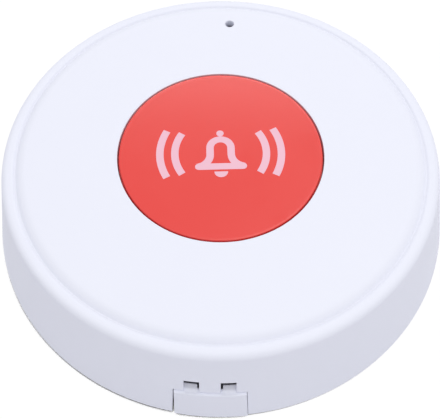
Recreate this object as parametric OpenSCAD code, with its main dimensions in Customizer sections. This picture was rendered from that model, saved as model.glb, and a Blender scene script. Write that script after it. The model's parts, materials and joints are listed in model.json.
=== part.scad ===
// Round call pager: a flared white case with one large red button in its face.
// Millimetres, +Z up. The origin is the centre of the base, on the surface that the pager stands on.
// The near side, with the tongue of the rear cover, is -Y. The indicator hole is at +Y.

/* [Case] */
// Diameter over the skirt at its lower edge
base_d = 70; // [66:0.5:80]
// Diameter over the rounded shoulder
shoulder_d = 64.6; // [61:0.1:69]
// Height of the face above the surface
case_h = 14.9; // [13.6:0.1:22]
// Gap between the skirt and the surface
skirt_lift = 0.3; // [0.2:0.1:0.9]
// Thickness of the wall and of the face
wall = 2; // [1.6:0.1:2.4]
// Rounding of the skirt's lower edge
skirt_round = 0.25; // [0.1:0.05:0.4]

/* [Face] */
// Radius of the rounded rim
rim_r = 1.1; // [0.9:0.05:1.5]
// How far the top of the rim lies below the face
rim_drop = 0.5; // [0.2:0.05:0.7]
// Distance of the groove in from the shoulder
groove_inset = 2.1; // [1.9:0.05:2.8]
// Depth of the groove below the rim
groove_depth = 0.34; // [0.1:0.02:0.5]
// Rounding of the groove's bottom
groove_round = 0.25; // [0.05:0.05:0.3]
// Width over which the rim falls into the groove
rim_fall = 0.6; // [0.4:0.05:0.8]
// Width over which the face falls into the groove
face_fall = 1.6; // [1.2:0.1:2.4]

/* [Indicator] */
// Diameter of the indicator hole
led_hole_d = 1.4; // [1:0.1:2]
// Distance of the hole in from the edge of the flat face
led_inset = 2.55; // [1.4:0.05:4]
// Distance of the hole to the right of the middle
led_side = 0.4; // [-1:0.1:1]
// Wall of the tube that leads light to the hole
led_tube_t = 1; // [0.8:0.1:1.2]
// Gap between that tube and the status light
led_tube_gap = 0.3; // [0.2:0.1:0.8]

/* [Button] */
// Diameter of the button where its bore guides it
button_d = 30.2; // [27:0.1:32]
// Gap all round the button in its bore
button_gap = 0.1; // [0.08:0.02:0.3]
// Width of the step round the button's upper edge
step_w = 0.15; // [0.05:0.05:0.3]
// Depth of that step below the face
step_h = 0.9; // [0.4:0.1:0.9]
// Thickness of the button's top
button_t = 2; // [1.8:0.1:3]
// Rounding of the button's upper edge
button_round = 0.15; // [0.1:0.05:0.4]
// Thickness of the button's skirt
button_skirt_t = 1.4; // [1:0.1:1.8]
// Travel of the button
button_travel = 0.8; // [0.6:0.05:0.9]
// Width of the flange that holds the button in
flange_w = 1.5; // [1:0.1:2]
// Thickness of that flange
flange_t = 1.2; // [0.9:0.1:1.4]
// Gap left under the flange when the button is pressed home
flange_clear = 1.3; // [0.5:0.1:2]
// Wall of the collar round the bore
collar_t = 1.5; // [1.2:0.1:2]
// Width of the two ears that stop the button from turning
ear_w = 4; // [3:0.5:6]
// How far the ears stand out of the flange
ear_out = 1.5; // [1:0.1:2]
// Gap between an ear and its guides
ear_gap = 0.15; // [0.1:0.05:0.3]
// Thickness of the guides
guide_t = 1.2; // [1:0.1:1.6]

/* [Rear cover] */
// Thickness of the plate
plate_t = 1.4; // [1.2:0.1:2]
// Gap between the rear cover and the inside of the wall
cover_gap = 0.25; // [0.15:0.05:0.4]
// Distance between the two holes for wall screws
screw_spacing = 44; // [38:1:50]
// Diameter of those holes
screw_hole_d = 3.5; // [3:0.1:4.5]
// Height of the grip tabs above the surface
tab_h = 5.5; // [4:0.1:6]
// Thickness of the grip tabs
tab_t = 1.2; // [1:0.1:1.6]
// How far the bead on a grip tab stands out
tab_bead = 0.4; // [0.2:0.05:0.6]
// Angle that each grip tab spans
tab_span = 20; // [12:1:30]
// Thickness of the ribs of the case that stand on the plate
rib_t = 1.2; // [1:0.1:1.6]
// Gap between those ribs and the board
rib_gap = 0.8; // [0.5:0.1:1.2]

/* [Tongue] */
// Width of the tongue at its lower edge
tongue_w = 10.3; // [9.5:0.1:13]
// Height of the tongue
tongue_h = 6.15; // [5:0.05:7]
// Gap between the tongue and the surface
tongue_lift = 0.35; // [0:0.05:0.5]
// How much each side leans in over that height
tongue_draft = 0.3; // [0:0.05:0.5]
// Gap at each side of the tongue in its notch
tongue_gap = 0.2; // [0.15:0.05:0.4]
// Gap above the tongue
tongue_top_gap = 0.12; // [0.08:0.02:0.3]
// How far the tongue stands out of the wall
tongue_proud = 0.2; // [0:0.02:0.3]
// Thickness of the tongue at its upper edge
tongue_t = 0.8; // [0.7:0.05:1.8]
// Rounding of the tongue's upper edge
tongue_round = 0.2; // [0.1:0.05:0.6]
// Width of each window above the tongue
window_w = 2.1; // [1.6:0.1:2.4]
// Height of the windows above the tongue
window_h = 2.45; // [1.8:0.05:3]
// Width of the bridge between the windows
bridge_w = 2.9; // [2.4:0.1:4]
// Gap above the key in each window
key_top_gap = 1.45; // [0.3:0.05:1.7]
// Gap between each key and the bridge
key_bridge_gap = 0.3; // [0.15:0.05:0.4]
// Gap between each key and the far side of its window
key_side_gap = 0.04; // [0.02:0.02:0.3]
// How far the foot of each key slopes in
key_slope = 0.45; // [0.2:0.05:0.6]
// Height of that slope
key_slope_h = 0.35; // [0.2:0.05:0.6]
// How far the face of each key leans in above that slope
key_lean = 0.3; // [0.1:0.05:1.1]
// Thickness of each key at its upper edge
key_t = 0.12; // [0.08:0.02:0.4]

/* [Coin cell] */
// Diameter of the cell
cell_d = 24.5; // [20:0.5:25]
// Thickness of the cell
cell_t = 3; // [2:0.1:4]
// Width of the gasket step round the cell's cap
cell_step = 1.2; // [0.8:0.1:1.6]
// Thickness of the sheet that the clip is bent from
clip_t = 0.25; // [0.2:0.05:0.4]
// Width of the clip
clip_w = 6; // [4:0.5:8]
// Gap between the clip and the plate of the rear cover
clip_gap = 0.15; // [0.1:0.05:0.4]
// Gap between the clip's legs and the cell
clip_slack = 0.25; // [0.15:0.05:0.4]
// Length of the clip's feet on the board
clip_foot = 2.5; // [1.5:0.1:3]
// Diameter of the negative contact over its rim on the board
contact_d = 12; // [10:0.5:16]
// Diameter of the foot that presses on the cell
contact_foot_d = 5; // [4:0.5:6]
// Thickness of the sheet that the contact is dished from
contact_t = 0.2; // [0.15:0.05:0.4]

/* [Circuit board] */
// Thickness of the board
board_t = 1; // [0.8:0.1:1.6]
// Width of board beyond the centre of the status light
board_edge = 2.2; // [1:0.1:2.6]
// Diameter of the bosses that carry the board
boss_d = 5; // [4:0.1:5.5]
// Diameter of the board screws
board_screw_d = 2; // [1.6:0.1:2.4]
// Diameter of the screw heads
screw_head_d = 3.8; // [3.2:0.1:4.4]
// Height of the screw heads
screw_head_h = 1.3; // [1:0.1:1.6]
// Clearance of the screws in their holes
screw_slack = 0.03; // [0.02:0.01:0.08]
// Solid plastic left above each screw
screw_roof = 1.2; // [0.8:0.1:2]

/* [Switch] */
// Width of the press switch
switch_w = 6; // [5:0.1:6.4]
// Height of the press switch without its stem
switch_h = 3.5; // [2.5:0.1:4.3]
// Thickness of its metal cover plate
switch_cover_t = 0.3; // [0.2:0.05:0.4]
// Diameter of the stem
stem_d = 3.5; // [2.8:0.1:3.6]
// Height of the stem above the switch
stem_h = 0.8; // [0.5:0.05:1.2]
// Travel of the stem
stem_travel = 0.25; // [0.2:0.01:0.3]
// Gap round the stem
stem_gap = 0.15; // [0.1:0.01:0.2]
// Width of the foot that keeps the stem in
stem_foot_w = 0.5; // [0.3:0.05:0.6]
// Thickness of that foot
stem_foot_t = 0.5; // [0.4:0.05:0.7]
// Height of the snap dome
dome_h = 0.6; // [0.4:0.05:0.7]
// Thickness of the snap dome
dome_t = 0.15; // [0.1:0.01:0.2]
// Gap left between the plunger and the stem when both are pressed home
plunger_slack = 0.02; // [0.01:0.01:0.05]
// Diameter of the plunger under the button
plunger_d = 4; // [3:0.1:5]
// Length of that plunger
plunger_h = 0.43; // [0.3:0.01:1]

/* [Return spring] */
// Mean diameter of the spring
spring_d = 12.4; // [12.2:0.1:16]
// Diameter of its wire
spring_wire = 0.5; // [0.4:0.05:0.6]
// Number of turns
spring_turns = 4.5; // [3:0.5:5]
// Gap between the spring and the ring that centres it
spring_slack = 0.25; // [0.15:0.05:0.4]
// Length of that ring under the button's top
spring_ring_h = 0.8; // [0.5:0.05:0.9]
// Thickness of that ring
spring_ring_t = 0.9; // [0.6:0.1:1]

/* [Board parts] */
// Length of the radio chip
chip_l = 5; // [4:0.1:6]
// Width of the radio chip
chip_w = 4; // [3:0.1:4.4]
// Height of the radio chip
chip_h = 1.5; // [1:0.1:2]
// Spacing of the chip's pins
pin_pitch = 1.2; // [1:0.05:1.27]
// Length of the crystal
crystal_l = 5; // [3.2:0.1:5.6]
// Width of the crystal
crystal_w = 3.2; // [2.5:0.1:3.8]
// Height of the crystal
crystal_h = 1.2; // [0.8:0.1:2]
// Gap between the antenna coil and the face above it
antenna_roof = 0.6; // [0.4:0.1:1.5]
// Diameter of the antenna wire
antenna_wire = 0.6; // [0.5:0.05:0.7]
// Length of the antenna coil
antenna_l = 12; // [10:0.5:13]
// Number of turns of the antenna coil
antenna_turns = 8.5; // [6.5:1:9.5]
// Gap between the antenna coil and the board
antenna_lift = 0.3; // [0.2:0.05:0.5]
// Length of the status light
led_l = 1.6; // [1.2:0.1:2]
// Width of the status light
led_w = 0.8; // [0.6:0.1:1.2]
// Height of the status light
led_h = 0.7; // [0.5:0.1:1]
// Diameter of the choke
choke_d = 3.6; // [2.5:0.1:4.5]
// Height of the choke
choke_h = 2; // [1.2:0.1:3]
// Length of the bulk capacitor
bulk_l = 3.5; // [2.5:0.1:4.5]
// Width of the bulk capacitor
bulk_w = 2.8; // [2:0.1:3.2]
// Height of the bulk capacitor
bulk_h = 1.9; // [1.2:0.1:2.5]
// Length of the small resistors and capacitors
small_l = 1.6; // [1:0.1:2]
// Width of the small resistors and capacitors
small_w = 0.8; // [0.5:0.1:1.2]

/* [Hidden] */
$fn = 96;
ease = 0.5;

// Wall: a straight flare from the skirt's lower edge, tangent to the rounded rim.
base_r = base_d / 2;
shoulder_r = shoulder_d / 2;
rim_top = case_h - rim_drop;
rim_c = [shoulder_r - rim_r, rim_top - rim_r];
skirt_p = [base_r, skirt_lift];
rim_way = rim_c - skirt_p;
wall_dir = atan2(rim_way[1], rim_way[0]) - asin(rim_r / norm(rim_way));
flare = -cos(wall_dir) / sin(wall_dir);
wall_across = wall / sin(wall_dir);
face_under = case_h - wall;
function outer_r(z) = base_r - flare * (z - skirt_lift);
function inner_r(z) = outer_r(z) - wall_across;

// Face: flat, then an arc that falls to the groove, and a lip that rises from there to the rim.
groove_r = shoulder_r - groove_inset;
flat_r = groove_r - face_fall;
fall_h = rim_drop + groove_depth;
fall_r = (face_fall * face_fall + fall_h * fall_h) / (2 * fall_h);
fall_c = [flat_r, case_h - fall_r];
lip_end = groove_r + rim_fall;
lip_r = (rim_fall * rim_fall + groove_depth * groove_depth) / (2 * groove_depth);
lip_c = [lip_end, rim_top - lip_r];

// The groove's bottom is round, tangent to both arcs.
groove_c = crossing(fall_c, fall_r + groove_round, lip_c, lip_r + groove_round);
fall_end = bearing(groove_c - fall_c);
lip_start = bearing(groove_c - lip_c);

// Heights, from the button down to the board.
button_under = case_h - button_t;
plunger_z = button_under - plunger_h;
stem_top = plunger_z - (button_travel - stem_travel) - plunger_slack;
switch_top = stem_top - stem_h;
board_top = switch_top - switch_h;
board_z = board_top - board_t;
flange_z = board_top + flange_clear + button_travel;
flange_top = flange_z + flange_t;

// Heights, from the rear cover up to the cell: the sprung contact fills what is left below the board.
clip_z = plate_t + clip_gap;
cell_z = clip_z + clip_t;
contact_z = cell_z + cell_t;
contact_h = board_z - contact_z;

// Radii, from the button out.
button_r = button_d / 2;
bore_r = button_r + button_gap;
collar_r = bore_r + collar_t;
flange_r = button_r + flange_w;
ear_r = flange_r + ear_out;
guide_r = flange_r + 2 * ear_gap;
guide_end = ear_r + guide_t / 2;
led_r = flat_r - led_inset;
board_r = led_r + board_edge;
ring_r = (guide_end + board_r) / 2;
plate_r = inner_r(plate_t) - cover_gap;
rib_count = 6;
tab_count = 3;

// Board screws and their bosses.
boss_count = 3;
boss_first = 30;
pilot_r = board_screw_d / 2 - screw_slack * 4;
screw_r = pilot_r - screw_slack;
screw_bite = face_under - board_top - screw_roof;

// Tongue, windows and keys.
tongue_top_w = tongue_w - 2 * tongue_draft;
notch_in = inner_r(tongue_h) - wall;
tongue_tip = outer_r(tongue_h) + tongue_proud;
tongue_in = tongue_tip - tongue_t;
window_top = tongue_h + window_h;
key_in = bridge_w / 2 + key_bridge_gap;
key_out = bridge_w / 2 + window_w - key_side_gap;
key_foot = tongue_tip - tongue_round;
key_knee = key_foot - key_slope;
key_tip = key_knee - key_lean;

// Press switch, from its top down.
foot_top = switch_top - switch_cover_t - stem_gap / 2;
foot_z = foot_top - stem_foot_t;
foot_r = stem_d / 2 + stem_foot_w;
dome_top = foot_z - stem_travel - stem_gap / 2;
dome_r = foot_r - stem_gap;

WHITE = "ghostwhite";
RED = "tomato";
STEEL = "silver";
BLACK = "dimgray";

function heading(a) = [cos(a), sin(a)];
function bearing(v) = atan2(v[1], v[0]);

// The point left of the way from a to b that lies ra from a and rb from b.
function crossing(a, ra, b, rb) =
    let (way = b - a, d = norm(way), along = (d * d + ra * ra - rb * rb) / (2 * d))
    a + (along * way + sqrt(ra * ra - along * along) * [-way[1], way[0]]) / d;

// Points along an arc, without its last point.
function arc(c, r, from, to, n) = [for (i = [0:n - 1]) c + r * heading(from + (to - from) * i / n)];

// A rounded corner at p between two edges that leave it in the directions a and b.
function corner(p, a, b, r, n = 6) =
    let (s = sign(b - a), open = abs(b - a), c = p + r / sin(open / 2) * heading((a + b) / 2))
    [for (i = [0:n]) c + r * heading(a - s * (90 + (180 - open) * i / n))];

// A tube round a path. No stretch of the path runs along the given axis.
module tube(path, axis, r, sides = 6) {
    n = len(path);
    function unit(v) = v / norm(v);
    function way(i) = unit(path[min(i + 1, n - 1)] - path[max(i - 1, 0)]);
    function across(i) = unit(cross(way(i), axis));
    points = [for (i = [0:n - 1]) for (j = [0:sides - 1]) let (turn = heading(360 * j / sides))
        path[i] + r * (across(i) * turn[0] + cross(way(i), across(i)) * turn[1])];
    skin = [for (i = [0:n - 2]) for (j = [0:sides - 1])
        let (a = i * sides + j, b = i * sides + (j + 1) % sides)
        each [[a, b + sides, b], [a, a + sides, b + sides]]];
    end = (n - 1) * sides;
    first_cap = [for (j = [1:sides - 2]) [0, j, j + 1]];
    last_cap = [for (j = [1:sides - 2]) [end, end + j + 1, end + j]];
    polyhedron(points, concat(skin, first_cap, last_cap));
}

// A block centred on its base, with its upright edges cut.
module chip_block(x, y, h, cut = 0.25) {
    linear_extrude(h)
        polygon([[x / 2, y / 2 - cut], [x / 2 - cut, y / 2], [cut - x / 2, y / 2], [-x / 2, y / 2 - cut],
            [-x / 2, cut - y / 2], [cut - x / 2, -y / 2], [x / 2 - cut, -y / 2], [x / 2, cut - y / 2]]);
}

// Places a part on the board between the button's guides and the board's edge.
module on_ring(angle) {
    rotate(angle)
        translate([ring_r, 0, board_top])
            children();
}

// Repeats a shape round the axis.
module around(count, first = 0) {
    for (i = [0:count - 1])
        rotate(first + 360 * i / count)
            children();
}

// An upright slab across the near wall, cut to an outline of width against height.
module near_slab(from_r, outline) {
    translate([0, -from_r, 0])
        rotate([90, 0, 0])
            linear_extrude(base_r + wall - from_r)
                polygon(outline);
}

module case_solid() {
    rotate_extrude()
        polygon(concat([[0, skirt_lift], [0, case_h]],
            arc(fall_c, fall_r, 90, fall_end, 8),
            arc(groove_c, groove_round, fall_end + 180, lip_start + 180, 5),
            arc(lip_c, lip_r, lip_start, 90, 5),
            [[lip_end, rim_top]],
            arc(rim_c, rim_r, 90, wall_dir - 90, 16),
            [rim_c + rim_r * heading(wall_dir - 90)],
            corner(skirt_p, wall_dir, 180, skirt_round)));
}

module case_cavity() {
    rotate_extrude()
        polygon([[0, 0], [inner_r(0), 0], [inner_r(face_under), face_under], [0, face_under]]);
}

// What stands inside the case: ribs, bosses, the button's collar and guides, and the light tube.
module case_fittings() {
    around(rib_count)
        translate([board_r + rib_gap, -rib_t / 2, plate_t])
            cube([base_r - board_r, rib_t, case_h - plate_t]);
    around(boss_count, boss_first)
        translate([ring_r, 0, board_top])
            cylinder(d = boss_d, h = case_h - board_top);
    translate([0, 0, flange_top])
        cylinder(r = collar_r, h = case_h - flange_top);
    around(2)
        for (side = [-1, 1])
            translate([guide_r, side * (ear_w / 2 + ear_gap + guide_t / 2) - guide_t / 2, flange_z])
                cube([guide_end - guide_r, guide_t, case_h - flange_z]);
    translate([led_side, led_r, board_top + led_h + led_tube_gap])
        cylinder(d = led_hole_d + 2 * led_tube_t, h = case_h - board_top - led_h - led_tube_gap);
}

module notch_and_windows() {
    half = tongue_w / 2 + tongue_gap;
    top = tongue_h + tongue_top_gap;
    lean = tongue_draft / tongue_h;
    window_foot = tongue_h - wall;
    near_slab(notch_in, [[-half - lean * wall, -wall], [half + lean * wall, -wall],
        [half - lean * top, top], [lean * top - half, top]]);
    for (side = [-1, 1])
        translate([side * (bridge_w + window_w) / 2, 0, 0])
            near_slab(notch_in, [[-window_w / 2, window_foot], [window_w / 2, window_foot],
                [window_w / 2, window_top], [-window_w / 2, window_top]]);
}

module top_housing() {
    color(WHITE)
        difference() {
            case_solid();
            difference() {
                case_cavity();
                case_fittings();
            }
            translate([0, 0, plate_t])
                cylinder(r = bore_r, h = case_h);
            translate([led_side, led_r, plate_t])
                cylinder(d = led_hole_d, h = case_h);
            around(boss_count, boss_first)
                translate([ring_r, 0, board_top - ease])
                    cylinder(r = pilot_r, h = screw_bite + 2 * ease);
            notch_and_windows();
        }
}

// The tongue, with its root carried in over the plate.
module tongue() {
    root_r = plate_r - wall;
    intersection() {
        rotate_extrude()
            polygon(concat(
                corner([outer_r(tongue_lift) + tongue_proud, tongue_lift], wall_dir, 180, skirt_round),
                [[root_r, tongue_lift], [root_r, plate_t], [tongue_in, plate_t], [tongue_in, tongue_h]],
                corner([tongue_tip, tongue_h], 180, wall_dir + 180, tongue_round)));
        near_slab(tongue_in / 2, [[-tongue_w / 2, 0], [tongue_w / 2, 0],
            [tongue_top_w / 2, tongue_h], [-tongue_top_w / 2, tongue_h]]);
    }
}

module window_keys() {
    key_top = window_top - key_top_gap;
    intersection() {
        rotate_extrude()
            polygon([[key_tip - key_t, tongue_h - wall], [key_foot, tongue_h - wall], [key_foot, tongue_h],
                [key_knee, tongue_h + key_slope_h], [key_tip, key_top], [key_tip - key_t, key_top]]);
        for (side = [-1, 1])
            translate([side * (key_in + key_out) / 2 - (key_out - key_in) / 2, -base_r, 0])
                cube([key_out - key_in, base_r, window_top]);
    }
}

// A springy tab whose bead grips the inside of the wall.
module grip_tab() {
    bead_r = inner_r(tab_h) - cover_gap;
    tab_r = bead_r - tab_bead;
    rotate(-tab_span / 2)
        rotate_extrude(angle = tab_span)
            polygon([[tab_r - tab_t, plate_t / 2], [tab_r, plate_t / 2], [tab_r, tab_h - 4 * tab_bead],
                [bead_r, tab_h - 3 * tab_bead], [bead_r, tab_h - tab_bead], [tab_r, tab_h],
                [tab_r - tab_t, tab_h]]);
}

module rear_cover() {
    color(WHITE)
        difference() {
            union() {
                cylinder(r = plate_r, h = plate_t);
                tongue();
                window_keys();
                around(tab_count, 90)
                    grip_tab();
            }
            for (side = [-1, 1])
                translate([side * screw_spacing / 2, 0, -ease])
                    cylinder(d = screw_hole_d, h = plate_t + 2 * ease);
        }
}

module call_button() {
    ring_out = spring_d / 2 - spring_wire / 2 - spring_slack;
    cap_r = button_r - step_w;
    step_z = case_h - step_h;
    color(RED) {
        rotate_extrude()
            polygon(concat([[0, button_under], [0, case_h]],
                arc([cap_r - button_round, case_h - button_round], button_round, 90, 0, 5),
                [[cap_r, case_h - button_round], [cap_r, step_z], [button_r, step_z],
                [button_r, flange_top], [flange_r, flange_top], [flange_r, flange_z],
                [button_r - button_skirt_t, flange_z], [button_r - button_skirt_t, button_under]]));
        around(2)
            translate([flange_r - ease, -ear_w / 2, flange_z])
                cube([ear_r - flange_r + ease, ear_w, flange_t]);
        translate([0, 0, plunger_z])
            cylinder(d = plunger_d, h = case_h - ease - plunger_z);
        difference() {
            translate([0, 0, button_under - spring_ring_h])
                cylinder(r = ring_out, h = spring_ring_h + ease);
            translate([0, 0, button_under - spring_ring_h - ease])
                cylinder(r = ring_out - spring_ring_t, h = spring_ring_h + 3 * ease);
        }
    }
}

module return_spring() {
    rings = round(spring_turns * 12);
    low = board_top + spring_wire / 2;
    high = button_under - spring_wire / 2;
    color(STEEL)
        tube([for (i = [0:rings]) let (turn = 360 * spring_turns * i / rings)
            [spring_d / 2 * cos(turn), spring_d / 2 * sin(turn), low + (high - low) * i / rings]],
            [0, 0, 1], spring_wire / 2);
}

module circuit_board() {
    color("seagreen")
        difference() {
            translate([0, 0, board_z])
                cylinder(r = board_r, h = board_t);
            around(boss_count, boss_first)
                translate([ring_r, 0, board_z - ease])
                    cylinder(r = board_screw_d / 2 + 2 * screw_slack, h = board_t + 2 * ease);
        }
}

module board_screws() {
    slot_w = screw_head_d / 6;
    slot_l = screw_head_d * 0.6;
    color(STEEL)
        around(boss_count, boss_first)
            translate([ring_r, 0, board_z])
                difference() {
                    union() {
                        translate([0, 0, -screw_head_h])
                            cylinder(d = screw_head_d, h = screw_head_h);
                        translate([0, 0, -screw_head_h / 2])
                            cylinder(r = screw_r, h = screw_head_h / 2 + board_t + screw_bite);
                    }
                    for (turn = [0, 90])
                        rotate(turn)
                            translate([-slot_l / 2, -slot_w / 2, -screw_head_h * 1.5])
                                cube([slot_l, slot_w, screw_head_h]);
                }
}

module coin_cell() {
    cell_r = cell_d / 2;
    bevel = cell_step / 3;
    color(STEEL)
        translate([0, 0, cell_z])
            rotate_extrude()
                polygon([[0, 0], [cell_r - bevel, 0], [cell_r, bevel], [cell_r, cell_t - 2 * bevel],
                    [cell_r - bevel, cell_t - bevel], [cell_r - cell_step, cell_t - bevel],
                    [cell_r - cell_step - bevel, cell_t], [0, cell_t]]);
}

module cell_clip() {
    leg = cell_d / 2 + clip_slack;
    color(STEEL)
        translate([0, 0, clip_z]) {
            translate([-leg - clip_t, -clip_w / 2, 0])
                cube([2 * (leg + clip_t), clip_w, clip_t]);
            translate([-clip_w / 2, -leg - clip_t, 0])
                cube([clip_w, leg + clip_t, clip_t]);
            for (turn = [0, 180, 270])
                rotate(turn) {
                    translate([leg, -clip_w / 2, 0])
                        cube([clip_t, clip_w, board_z - clip_z]);
                    translate([leg, -clip_w / 2, board_z - clip_z - clip_t])
                        cube([clip_foot, clip_w, clip_t]);
                }
        }
}

// A dished contact, which springs between the board and the cell.
module cell_contact() {
    rim_out = contact_d / 2;
    rim_in = contact_d / 3;
    foot_out = contact_foot_d / 2;
    foot_in = contact_foot_d / 5;
    bend = contact_t / 2;
    color("gold")
        translate([0, 0, contact_z])
            rotate_extrude()
                polygon([[foot_in, 0], [foot_out, 0], [rim_in, contact_h - contact_t],
                    [rim_out, contact_h - contact_t], [rim_out, contact_h], [rim_in - bend, contact_h],
                    [foot_out - bend, contact_t], [foot_in, contact_t]]);
}

module switch_body() {
    floor_z = dome_top - dome_h;
    color(BLACK)
        translate([0, 0, board_top])
            difference() {
                chip_block(switch_w, switch_w, switch_h - switch_cover_t);
                translate([0, 0, floor_z - board_top])
                    cylinder(r = foot_r + stem_gap, h = switch_h);
            }
}

module switch_cover() {
    color(STEEL)
        translate([0, 0, switch_top - switch_cover_t])
            difference() {
                chip_block(switch_w, switch_w, switch_cover_t);
                translate([0, 0, -ease])
                    cylinder(d = stem_d + 2 * stem_gap, h = switch_cover_t + 2 * ease);
            }
}

module switch_stem() {
    chamfer = stem_h / 4;
    color(BLACK)
        rotate_extrude()
            polygon([[0, foot_z], [foot_r, foot_z], [foot_r, foot_top], [stem_d / 2, foot_top],
                [stem_d / 2, stem_top - chamfer], [stem_d / 2 - chamfer, stem_top], [0, stem_top]]);
}

module switch_dome() {
    crown_r = dome_r / 3;
    color(STEEL)
        translate([0, 0, dome_top - dome_h])
            rotate_extrude()
                polygon([[dome_r - dome_t, 0], [dome_r, 0], [dome_r, dome_t], [crown_r, dome_h],
                    [0, dome_h], [0, dome_h - dome_t], [crown_r, dome_h - dome_t],
                    [dome_r - dome_t, dome_t]]);
}

module switch_terminals() {
    lead_t = switch_cover_t;
    lead_w = switch_w / 8;
    color(STEEL)
        for (side = [0, 180])
            for (along = [-1, 1])
                rotate(side)
                    translate([switch_w / 2, along * switch_w * 0.37 - lead_w / 2, board_top]) {
                        cube([lead_w * 1.5, lead_w, lead_t]);
                        cube([lead_t, lead_w, switch_h / 3]);
                    }
}

module radio_chip() {
    color(BLACK)
        on_ring(225)
            chip_block(chip_w, chip_l, chip_h);
}

module chip_pins() {
    pin_t = 0.2;
    pin_w = pin_pitch / 3;
    pin_l = pin_pitch * 0.8;
    pins_a_side = 4;
    color(STEEL)
        on_ring(225)
            for (side = [0, 180])
                for (i = [0:pins_a_side - 1])
                    rotate(side)
                        translate([chip_w / 2, (i - (pins_a_side - 1) / 2) * pin_pitch - pin_w / 2, 0]) {
                            cube([pin_l, pin_w, pin_t]);
                            cube([pin_t, pin_w, chip_h / 2]);
                        }
}

module crystal() {
    lid_t = crystal_h / 4;
    color(STEEL)
        on_ring(249) {
            chip_block(crystal_w, crystal_l, crystal_h);
            translate([0, 0, crystal_h - lid_t])
                chip_block(crystal_w * 0.85, crystal_l * 0.9, 2 * lid_t);
        }
}

module antenna_coil() {
    rings = round(antenna_turns * 12);
    coil_r = (face_under - board_top - antenna_roof - antenna_lift - antenna_wire) / 2;
    rise = antenna_lift + antenna_wire / 2 + coil_r;
    color("goldenrod")
        on_ring(119)
            tube(concat([[coil_r, -antenna_l / 2, 0]],
                [for (i = [0:rings]) let (turn = 360 * antenna_turns * i / rings)
                    [coil_r * cos(turn), antenna_l * (i / rings - 0.5), rise + coil_r * sin(turn)]],
                [[-coil_r, antenna_l / 2, 0]]),
                [0, 1, 0], antenna_wire / 2);
}

module status_light() {
    base_h = led_h / 2;
    color("honeydew")
        translate([led_side, led_r, board_top]) {
            chip_block(led_l, led_w, base_h, led_w / 8);
            translate([0, 0, base_h / 2])
                chip_block(led_l * 0.65, led_w * 0.9, led_h - base_h / 2, led_w / 5);
        }
}

module choke() {
    waist_r = choke_d / 3;
    lip_h = choke_h / 5;
    color(BLACK)
        on_ring(202)
            rotate_extrude()
                polygon([[0, 0], [choke_d / 2, 0], [choke_d / 2, lip_h], [waist_r, lip_h],
                    [waist_r, choke_h - lip_h], [choke_d / 2, choke_h - lip_h], [choke_d / 2, choke_h],
                    [0, choke_h]]);
}

module bulk_capacitor() {
    color("orange")
        on_ring(296)
            chip_block(bulk_w, bulk_l, bulk_h);
}

module small_capacitors() {
    color("tan")
        for (i = [0:3])
            on_ring(318 + 8 * i)
                chip_block(small_l, small_w, small_w, small_w / 10);
}

module resistors() {
    color(BLACK)
        for (i = [0:3])
            on_ring(52 + 8 * i)
                chip_block(small_l, small_w, small_w / 2, small_w / 10);
}

rear_cover();
top_housing();
call_button();
return_spring();
circuit_board();
board_screws();
coin_cell();
cell_clip();
cell_contact();
switch_body();
switch_cover();
switch_stem();
switch_dome();
switch_terminals();
radio_chip();
chip_pins();
crystal();
antenna_coil();
status_light();
choke();
bulk_capacitor();
small_capacitors();
resistors();
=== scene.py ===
"""A round call pager: a flared white case with a large red button, a rear cover, and what is inside."""

import json
import math

import bmesh
import bpy
from mathutils import Matrix, Vector
from mathutils.geometry import intersect_sphere_sphere_2d


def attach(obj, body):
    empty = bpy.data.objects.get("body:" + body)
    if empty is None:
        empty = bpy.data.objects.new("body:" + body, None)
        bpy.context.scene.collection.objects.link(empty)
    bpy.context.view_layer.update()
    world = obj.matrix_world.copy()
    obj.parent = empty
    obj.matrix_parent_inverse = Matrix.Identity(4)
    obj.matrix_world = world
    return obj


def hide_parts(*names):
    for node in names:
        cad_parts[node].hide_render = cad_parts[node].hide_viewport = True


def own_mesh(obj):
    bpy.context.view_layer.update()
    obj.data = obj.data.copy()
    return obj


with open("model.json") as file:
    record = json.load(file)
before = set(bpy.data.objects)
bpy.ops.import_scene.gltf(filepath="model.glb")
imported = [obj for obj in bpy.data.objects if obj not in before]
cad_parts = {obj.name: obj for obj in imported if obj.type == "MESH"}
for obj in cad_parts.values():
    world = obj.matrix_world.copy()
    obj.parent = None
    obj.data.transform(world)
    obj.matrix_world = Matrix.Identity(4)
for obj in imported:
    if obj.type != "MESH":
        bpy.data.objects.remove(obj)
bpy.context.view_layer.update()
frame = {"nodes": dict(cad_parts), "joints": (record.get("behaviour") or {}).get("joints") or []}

# Sizes in metres, in the frame of the CAD part: +Z up, the tongue at -Y, the indicator hole at +Y.
# Case
BASE_R = 0.03492
SHOULDER_R = 0.0323
CASE_H = 0.0149
SKIRT_LIFT = 0.0003
WALL = 0.002
SKIRT_ROUND = 0.00025
RIM_R = 0.0011
RIM_DROP = 0.0005
RIM_FALL = 0.0006
GROOVE_INSET = 0.0021
GROOVE_DEPTH = 0.00034
GROOVE_ROUND = 0.00025
FACE_FALL = 0.0016
# Indicator hole and its light tube
LED_HOLE_R = 0.0007
LED_HOLE_EDGE = 0.00008
LED_INSET = 0.00255
LED_SIDE = 0.0004
LED_TUBE_T = 0.001
LED_TUBE_Z = 0.0086
# Button, its bore and its guides
BUTTON_R = 0.01514
BUTTON_AT = (0.00005, 0.000055)
BUTTON_GAP = 0.0001
BUTTON_T = 0.002
STEP_W = 0.00015
STEP_H = 0.0009
BUTTON_ROUND = 0.00015
BUTTON_SKIRT_T = 0.0014
BORE_EDGE = 0.00005
COLLAR_T = 0.0015
FLANGE_Z = 0.0097
FLANGE_T = 0.0012
FLANGE_W = 0.0015
EAR_W = 0.004
EAR_OUT = 0.0015
EAR_GAP = 0.00015
GUIDE_T = 0.0012
PLUNGER_R = 0.002
PLUNGER_H = 0.00043
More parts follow.
